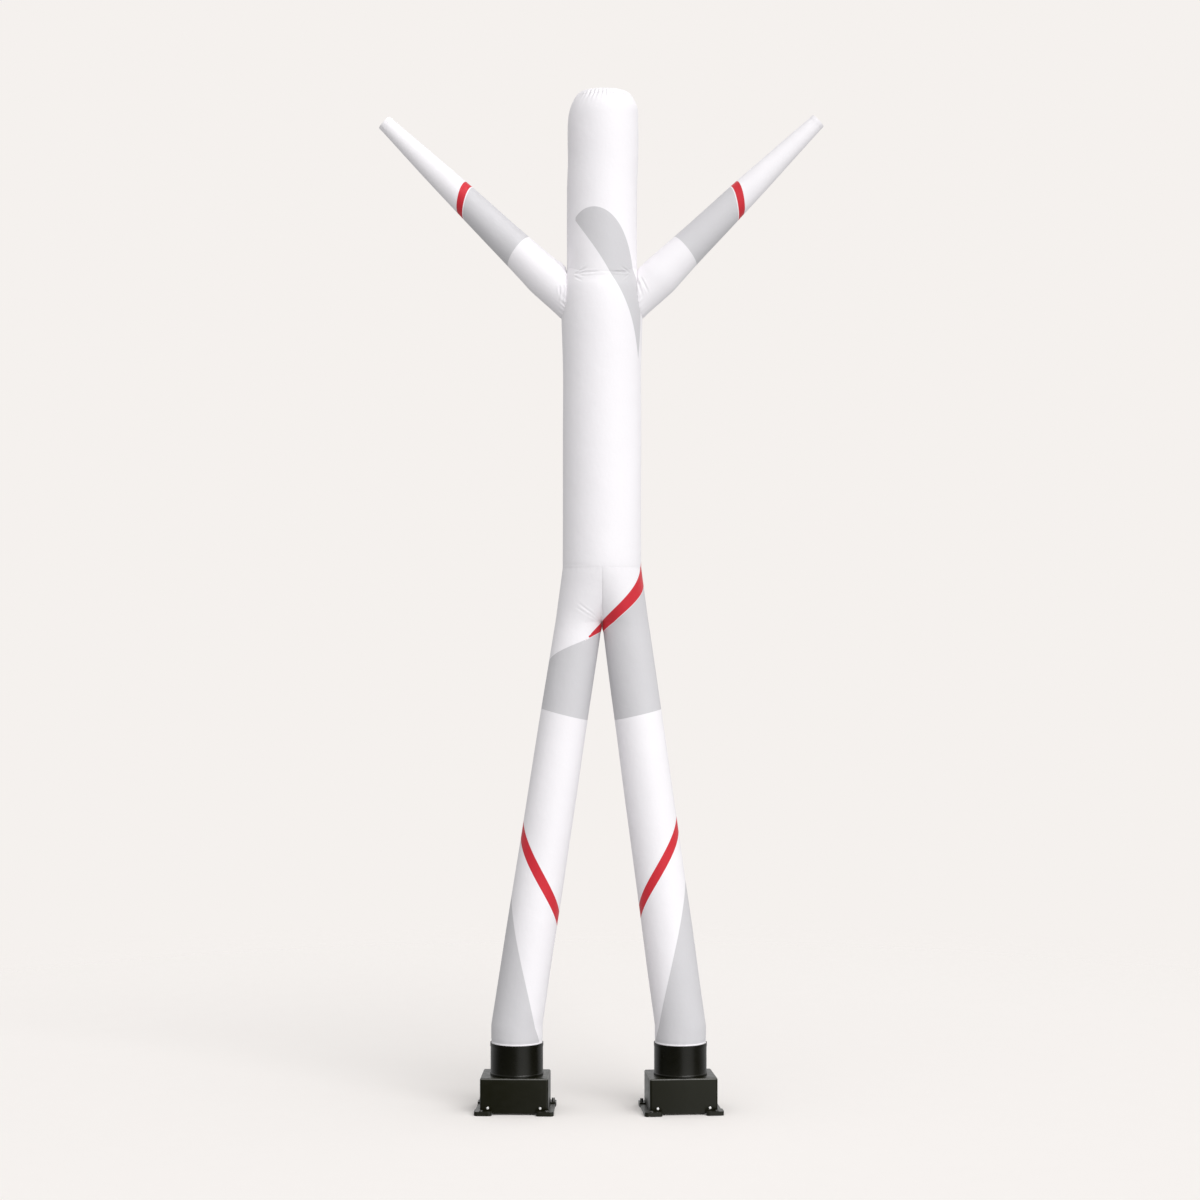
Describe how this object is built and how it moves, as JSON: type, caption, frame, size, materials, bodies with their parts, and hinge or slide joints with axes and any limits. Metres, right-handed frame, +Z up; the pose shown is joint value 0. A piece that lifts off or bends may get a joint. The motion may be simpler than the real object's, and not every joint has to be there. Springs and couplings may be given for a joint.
{
  "type": "inflatable air dancer on two blower bases",
  "caption": "Tall inflated cloth tube figure with round head, open-ended raised arms and two legs, each leg standing on a black blower box with a round outlet collar.",
  "frame": {"origin": "on the floor under the middle of the figure, midway between the two arm tips and midway between the front and back of the base feet", "axes": "+Z up along the figure, the front faces -Y, and +X is to the right seen from the front; left and right in names are as seen from the front"},
  "size_m": [2.6102, 0.475, 6],
  "materials": {
    "cloth": "white woven polyester with a slight sheen, printed in light grey and red",
    "base_paint": "black, semi-matt powder coat",
    "collar_paint": "black, satin",
    "screw_steel": "bright zinc-plated",
    "bolt_steel": "dark, slightly worn"
  },
  "bodies": {
    "root": {"crown": "cloth", "head_tube": "cloth", "torso": "cloth", "arm_left": "cloth", "arm_right": "cloth", "leg_left": "cloth", "leg_right": "cloth", "base_left_housing": "base_paint", "base_left_outlet": "collar_paint", "base_left_foot_outer": "base_paint", "base_left_foot_inner": "base_paint", "base_left_screw_a": "screw_steel", "base_left_screw_b": "screw_steel", "base_left_bolt_front_outer": "bolt_steel", "base_left_bolt_front_inner": "bolt_steel", "base_left_bolt_back_outer": "bolt_steel", "base_left_bolt_back_inner": "bolt_steel", "base_right_housing": "base_paint", "base_right_outlet": "collar_paint", "base_right_foot_outer": "base_paint", "base_right_foot_inner": "base_paint", "base_right_screw_a": "screw_steel", "base_right_screw_b": "screw_steel", "base_right_bolt_front_outer": "bolt_steel", "base_right_bolt_front_inner": "bolt_steel", "base_right_bolt_back_outer": "bolt_steel", "base_right_bolt_back_inner": "bolt_steel"}
  },
  "joints": []
}
